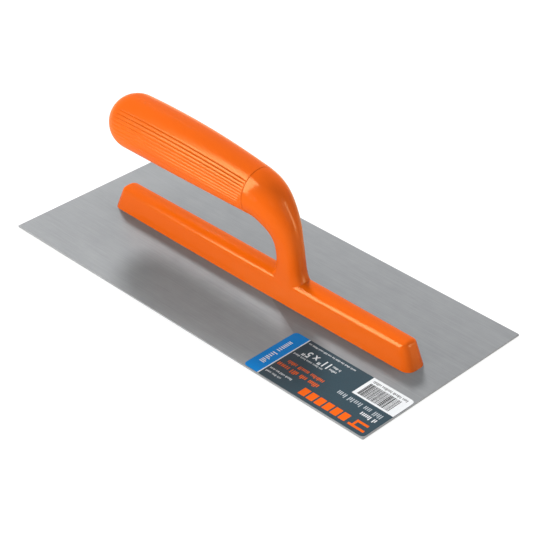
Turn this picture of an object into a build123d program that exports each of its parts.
from build123d import *

import os
from math import copysign, cos, pi, radians, sin, tan

# Steel finishing trowel with a moulded plastic handle.
# Frame: X runs along the blade towards the toe, Y across it, Z up.
# The origin is the centre of the blade's working face. Lengths are millimetres.

os.makedirs("parts", exist_ok=True)

# Blade
BLADE_LENGTH = 275
BLADE_WIDTH = 125
BLADE_THICKNESS = 0.8
BLADE_CORNER_RADIUS = 0.6

# Label stuck on the blade, at the toe beside the rail
LABEL_LENGTH = 85
LABEL_WIDTH = 40
LABEL_THICKNESS = 0.12
LABEL_CORNER_RADIUS = 2.5
LABEL_EDGE_MARGIN = 0.8

# Rail along the middle of the blade: drafted, and a little wider at its middle
RAIL_LENGTH = 234.8
RAIL_CENTRE_X = 2.2
RAIL_END_WIDTH = 14.9
RAIL_MID_WIDTH = 16.5
RAIL_TOP_Z = 15.7
RAIL_CROWN_RADIUS = 12
RAIL_SIDE_DRAFT = 7.2
RAIL_END_DRAFT = 22
RAIL_CORNER_RADIUS = 5.4
RAIL_TOP_FILLET = 3

# Pockets that core the rail out from below, with webs between them
POCKET_WIDTH = 11
POCKET_TOP_Z = 11.8
POCKET_CORNER_RADIUS = 1.2
WEB_THICKNESS = 2

# Barbed studs welded to the blade and pressed up into bosses in the rail
STUD_COUNT = 6
STUD_PITCH = 42
STUD_HEIGHT = 10
STUD_CORE_RADIUS = 1.7
FOOT_RADIUS = 3.2
FOOT_HEIGHT = 0.8
FOOT_CLEARANCE = 0.3
BARB_COUNT = 4
BARB_RADIUS = 2.1
BARB_PITCH = 2.2
STUD_HOLE_DEPTH = 10.5
BOSS_LENGTH = 9

# Seam where the grip sleeve meets the shank
SEAM_X = 1.2
SEAM_Z = 58.7
SEAM_RADIUS = 13.95
SEAM_CHAMFER = 0.25

# Shank sections below the seam: centre x, centre z, heading below level in degrees,
# half depth, half width, squareness (2 is an ellipse)
SHANK_SECTIONS = [
    (SEAM_X, SEAM_Z, 0, SEAM_RADIUS, SEAM_RADIUS, 2.0),
    (4.0, 58.2, 6, 13.6, 13.6, 2.0),
    (7.0, 57.3, 14, 13.1, 13.05, 2.05),
    (9.9, 55.9, 23, 12.55, 12.4, 2.1),
    (12.6, 53.9, 33, 11.9, 11.7, 2.15),
    (15.2, 51.3, 43, 11.15, 10.85, 2.2),
    (17.8, 48.4, 52, 10.35, 9.9, 2.25),
    (20.2, 45.3, 60, 9.6, 8.95, 2.3),
    (22.1, 42, 67, 8.95, 8.15, 2.35),
    (23.7, 38, 74, 8.35, 7.4, 2.4),
    (24.9, 33.5, 79, 8.05, 6.9, 2.5),
    (25.8, 29, 82, 8.0, 6.7, 2.6),
    (26.3, 24.5, 85, 8.2, 6.65, 2.7),
    (26.6, 20, 88, 8.8, 6.65, 2.8),
    (26.7, 16.8, 90, 10.0, 6.65, 2.9),
    (26.7, 14.2, 90, 12.0, 6.75, 2.9),
    (26.7, 11.8, 90, 14.0, 6.9, 2.9),
    (26.7, 9.0, 90, 15.4, 7.15, 2.9),
]
SECTION_POINTS = 24

# Round sections of the grip from its mouth to its heel: x, centre z, radius
GRIP_SECTIONS = [
    (SEAM_X, SEAM_Z, SEAM_RADIUS),
    (-15, 59.8, 14.9),
    (-30, 60.65, 15.65),
    (-50, 61.35, 16.35),
    (-80, 61.85, 16.8),
    (-98.3, 61.75, 16.75),
]

# Spigot on the shank and the bore of the grip sleeve that takes it
SPIGOT_LENGTH = 84
SPIGOT_ROOT_RADIUS = 10.8
SPIGOT_TIP_RADIUS = 10
SPIGOT_TIP_RISE = 2.6
SPIGOT_CORE_RADIUS = 6.5
SPIGOT_CORE_DEPTH = 74
BORE_DEPTH = 88
BORE_CLEARANCE = 0.15

BLADE_TOP = Plane.XY.offset(BLADE_THICKNESS)


def upright_plane(x, z):
    """Plane across the grip at x, facing the heel."""
    return Plane(origin=(x, 0, z), x_dir=(0, 1, 0), z_dir=(-1, 0, 0))


def shank_plane(x, z, heading):
    """Plane across the shank where its centre line heads below level by this angle."""
    along = (cos(radians(heading)), 0, -sin(radians(heading)))
    return Plane(origin=(x, 0, z), x_dir=(0, 1, 0), z_dir=along)


def shank_outline(half_depth, half_width, squareness):
    """Points round a superellipse, which goes from an ellipse to a soft rectangle."""
    points = []
    for step in range(SECTION_POINTS):
        angle = 2 * pi * (step + 0.5) / SECTION_POINTS
        across = copysign(abs(cos(angle)) ** (2 / squareness), cos(angle))
        deep = copysign(abs(sin(angle)) ** (2 / squareness), sin(angle))
        points.append((half_width * across, half_depth * deep))
    return points


# Blade: a thin steel plate
with BuildPart() as blade:
    with BuildSketch():
        RectangleRounded(BLADE_LENGTH, BLADE_WIDTH, BLADE_CORNER_RADIUS)
    extrude(amount=BLADE_THICKNESS)

blade.part.label = "blade"
export_step(blade.part, "parts/blade.step")


# Label: a printed film with rounded corners
label_x = BLADE_LENGTH / 2 - LABEL_EDGE_MARGIN - LABEL_LENGTH / 2
label_y = LABEL_EDGE_MARGIN + LABEL_WIDTH / 2 - BLADE_WIDTH / 2

with BuildPart() as label:
    with BuildSketch(BLADE_TOP):
        with Locations((label_x, label_y)):
            RectangleRounded(LABEL_LENGTH, LABEL_WIDTH, LABEL_CORNER_RADIUS)
    extrude(amount=LABEL_THICKNESS)

label.part.label = "label"
export_step(label.part, "parts/label.step")


# Blade studs: each is turned from one profile with a weld foot and saw-tooth barbs
stud_places = []
for stud in range(STUD_COUNT):
    stud_places.append(RAIL_CENTRE_X + (stud - (STUD_COUNT - 1) / 2) * STUD_PITCH)

with BuildPart() as blade_studs:
    for stud_x in stud_places:
        with BuildSketch(Plane.XZ.shift_origin((stud_x, 0, BLADE_THICKNESS))):
            with BuildLine():
                profile = [(0, 0), (FOOT_RADIUS, 0), (FOOT_RADIUS, FOOT_HEIGHT), (STUD_CORE_RADIUS, FOOT_HEIGHT)]
                for barb in range(BARB_COUNT):
                    barb_bottom = STUD_HEIGHT - (BARB_COUNT - barb) * BARB_PITCH
                    profile.append((STUD_CORE_RADIUS, barb_bottom))
                    profile.append((BARB_RADIUS, barb_bottom))
                profile.append((STUD_CORE_RADIUS, STUD_HEIGHT))
                profile.append((0, STUD_HEIGHT))
                Polyline(*profile, close=True)
            make_face()
        revolve(axis=Axis((stud_x, 0, 0), (0, 0, 1)))

blade_studs.part.label = "blade_studs"
export_step(blade_studs.part, "parts/blade_studs.step")


# Handle body: rail, shank and spigot in one moulding
rail_base = Plane(origin=(RAIL_CENTRE_X, 0, BLADE_THICKNESS))
rail_height = RAIL_TOP_Z - BLADE_THICKNESS

pocket_length = (STUD_PITCH - BOSS_LENGTH - WEB_THICKNESS) / 2
pocket_shift = (BOSS_LENGTH + pocket_length) / 2
pocket_places = []
for stud_x in stud_places[:-1]:
    pocket_places.append((stud_x + pocket_shift, 0))
    pocket_places.append((stud_x + STUD_PITCH - pocket_shift, 0))

with BuildPart() as handle_body:
    # Rail: two outlines joined by drafted walls, with a top arched across and rounded
    for height in (0, rail_height):
        side_inset = height * tan(radians(RAIL_SIDE_DRAFT))
        end_x = RAIL_LENGTH / 2 - height * tan(radians(RAIL_END_DRAFT))
        end_y = RAIL_END_WIDTH / 2 - side_inset
        mid_y = RAIL_MID_WIDTH / 2 - side_inset
        with BuildSketch(rail_base.offset(height)) as rail_outline:
            with BuildLine():
                ThreePointArc((-end_x, -end_y), (0, -mid_y), (end_x, -end_y))
                Line((end_x, -end_y), (end_x, end_y))
                ThreePointArc((end_x, end_y), (0, mid_y), (-end_x, end_y))
                Line((-end_x, end_y), (-end_x, -end_y))
            make_face()
            fillet(rail_outline.vertices(), radius=RAIL_CORNER_RADIUS - side_inset)
    loft()
    with BuildSketch(Plane.YZ):
        with Locations((0, RAIL_TOP_Z - RAIL_CROWN_RADIUS)):
            Circle(RAIL_CROWN_RADIUS)
    extrude(amount=RAIL_LENGTH, both=True, mode=Mode.INTERSECT)
    fillet(handle_body.faces().sort_by(Axis.Z)[-1].edges(), radius=RAIL_TOP_FILLET)

    # Shank: sections swung from the seam down into the rail
    for x, z, heading, half_depth, half_width, squareness in SHANK_SECTIONS:
        with BuildSketch(shank_plane(x, z, heading)):
            with BuildLine():
                Spline(*shank_outline(half_depth, half_width, squareness), periodic=True)
            make_face()
    loft()
    seam_face = handle_body.faces().filter_by(Axis.X).sort_by(Axis.Z)[-1]
    chamfer(seam_face.edges(), length=SEAM_CHAMFER)

    # Spigot: a hollow taper that points to the heel
    spigot_tip = upright_plane(SEAM_X - SPIGOT_LENGTH, SEAM_Z + SPIGOT_TIP_RISE)
    with BuildSketch(upright_plane(SEAM_X, SEAM_Z)):
        Circle(SPIGOT_ROOT_RADIUS)
    with BuildSketch(spigot_tip):
        Circle(SPIGOT_TIP_RADIUS)
    loft()
    with BuildSketch(spigot_tip):
        Circle(SPIGOT_CORE_RADIUS)
    extrude(amount=-SPIGOT_CORE_DEPTH, mode=Mode.SUBTRACT)

    # Pockets between the bosses, open to the blade
    with BuildSketch(BLADE_TOP):
        with Locations(*pocket_places):
            RectangleRounded(pocket_length, POCKET_WIDTH, POCKET_CORNER_RADIUS)
    extrude(amount=POCKET_TOP_Z - BLADE_THICKNESS, taper=RAIL_SIDE_DRAFT, mode=Mode.SUBTRACT)

    # Stud holes, each with a recess for the weld foot
    with BuildSketch(rail_base):
        with GridLocations(STUD_PITCH, 1, STUD_COUNT, 1):
            Circle(BARB_RADIUS)
    extrude(amount=STUD_HOLE_DEPTH, mode=Mode.SUBTRACT)
    with BuildSketch(rail_base):
        with GridLocations(STUD_PITCH, 1, STUD_COUNT, 1):
            Circle(FOOT_RADIUS + FOOT_CLEARANCE)
    extrude(amount=FOOT_HEIGHT, mode=Mode.SUBTRACT)

handle_body.part.label = "handle_body"
export_step(handle_body.part, "parts/handle_body.step")


# Grip sleeve: round sections, a domed heel and a blind bore
heel_x, heel_z, heel_radius = GRIP_SECTIONS[-1]

with BuildPart() as grip_sleeve:
    for x, z, radius in GRIP_SECTIONS:
        with BuildSketch(upright_plane(x, z)):
            Circle(radius)
    loft()
    chamfer(grip_sleeve.faces().sort_by(Axis.X)[-1].edges(), length=SEAM_CHAMFER)
    with BuildSketch(Plane.XZ.shift_origin((heel_x, 0, heel_z))):
        with BuildLine():
            Line((0, 0), (0, heel_radius))
            CenterArc((0, 0), heel_radius, 90, 90)
            Line((-heel_radius, 0), (0, 0))
        make_face()
    revolve(axis=Axis((heel_x, 0, heel_z), (1, 0, 0)))

    with BuildSketch(upright_plane(SEAM_X, SEAM_Z)):
        Circle(SPIGOT_ROOT_RADIUS + BORE_CLEARANCE)
    with BuildSketch(upright_plane(SEAM_X - BORE_DEPTH, SEAM_Z + SPIGOT_TIP_RISE)):
        Circle(SPIGOT_TIP_RADIUS + BORE_CLEARANCE)
    loft(mode=Mode.SUBTRACT)

grip_sleeve.part.label = "grip_sleeve"
export_step(grip_sleeve.part, "parts/grip_sleeve.step")
